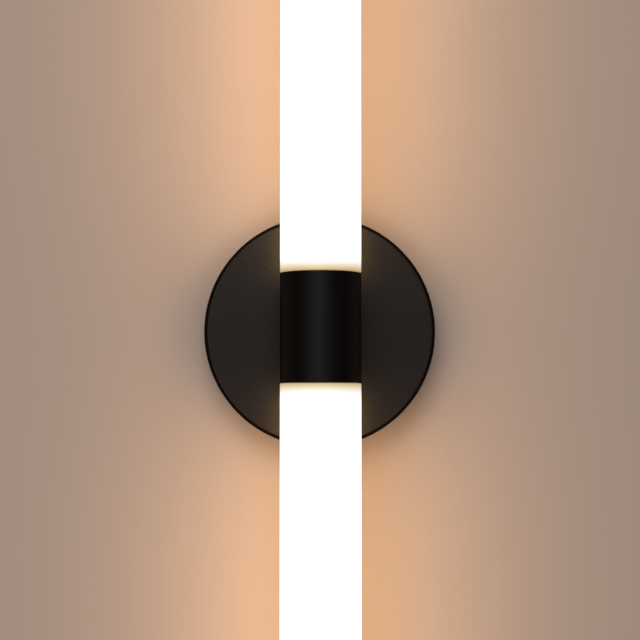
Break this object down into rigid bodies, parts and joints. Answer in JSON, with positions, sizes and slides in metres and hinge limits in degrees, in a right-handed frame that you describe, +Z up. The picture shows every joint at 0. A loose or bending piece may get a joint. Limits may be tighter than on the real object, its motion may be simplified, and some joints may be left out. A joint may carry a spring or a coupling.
{
  "type": "tube wall light",
  "caption": "Wall light: round black canopy, short black sleeve in front of it, and two opal LED tubes that run up and down from the sleeve.",
  "frame": {"origin": "middle of the canopy on the wall plane, at the centre of the wall bracket's screw pattern", "axes": "+Y into the wall, so the light stands out along -Y; +Z up, along the tubes; +X to the right for someone facing the wall"},
  "size_m": [0.12, 0.09, 0.6],
  "materials": {
    "canopy_black": "fine satin powder coat",
    "sleeve_black": "fine satin powder coat",
    "opal_acrylic": "opal, satin outside, lit from inside",
    "frosted_polycarbonate": "frosted",
    "silicone": "matt translucent silicone",
    "zinc_plated_steel": "bright zinc plate",
    "black_screw": "black zinc",
    "brass": "plain",
    "tinned_copper": "tin plate",
    "screw_steel": "nickel plate",
    "black_nylon": "moulded",
    "aluminium": "natural, extruded or turned",
    "board_white": "white solder mask",
    "led_phosphor": "yellow phosphor gel",
    "white_nylon": "moulded",
    "terminal_cream": "moulded",
    "driver_case_white": "fine spark texture",
    "board_green": "green solder mask",
    "ferrite": "sintered ferrite",
    "winding_tape": "yellow polyester tape",
    "capacitor_sleeve": "shrink sleeve",
    "lead_brown": "PVC insulation",
    "lead_blue": "PVC insulation",
    "lead_green_yellow": "striped PVC insulation",
    "lead_red": "silicone insulation",
    "lead_black": "silicone insulation",
    "lead_bare": "tinned wire"
  },
  "bodies": {
    "fixture": {"body_sleeve": "sleeve_black", "canopy_cover": "canopy_black", "canopy_screws": "black_screw", "core_block": "aluminium", "core_grub_screws": "black_screw", "driver_base": "driver_case_white", "driver_board": "board_green", "driver_capacitors": "capacitor_sleeve", "driver_choke": "ferrite", "driver_lid": "driver_case_white", "driver_transformer_core": "ferrite", "driver_winding": "winding_tape", "earth_lead": "lead_green_yellow", "earth_nut": "brass", "earth_ring_terminal": "tinned_copper", "earth_stud": "brass", "gear_nuts": "zinc_plated_steel", "gear_plate": "zinc_plated_steel", "gear_studs": "zinc_plated_steel", "led_negative_lead": "lead_black", "led_positive_lead": "lead_red", "led_spine": "aluminium", "link_negative_lead": "lead_black", "link_positive_lead": "lead_red", "live_lead": "lead_brown", "lock_washer": "zinc_plated_steel", "lower_board_jumpers": "lead_bare", "lower_led_boards": "board_white", "lower_led_chips": "led_phosphor", "lower_spine_plug": "white_nylon", "neutral_lead": "lead_blue", "nipple_bush": "black_nylon", "nipple_nut": "zinc_plated_steel", "stem_spacer": "sleeve_black", "terminal_barrels": "brass", "terminal_block": "terminal_cream", "terminal_screws": "screw_steel", "threaded_nipple": "zinc_plated_steel", "upper_board_jumpers": "lead_bare", "upper_led_boards": "board_white", "upper_led_chips": "led_phosphor", "upper_spine_plug": "white_nylon", "wall_bracket": "zinc_plated_steel"},
    "upper_tube": {"upper_diffuser": "opal_acrylic", "upper_neck": "frosted_polycarbonate", "upper_o_ring": "silicone", "upper_end_cap": "opal_acrylic"},
    "lower_tube": {"lower_diffuser": "opal_acrylic", "lower_neck": "frosted_polycarbonate", "lower_o_ring": "silicone", "lower_end_cap": "opal_acrylic"}
  },
  "joints": [
    {"name": "upper_diffuser_slide", "type": "slide", "parent": "fixture", "child": "upper_tube", "axis": [0, 0, 1], "range_m": [0, 0.285]},
    {"name": "lower_diffuser_slide", "type": "slide", "parent": "fixture", "child": "lower_tube", "axis": [0, 0, -1], "range_m": [0, 0.285]}
  ]
}
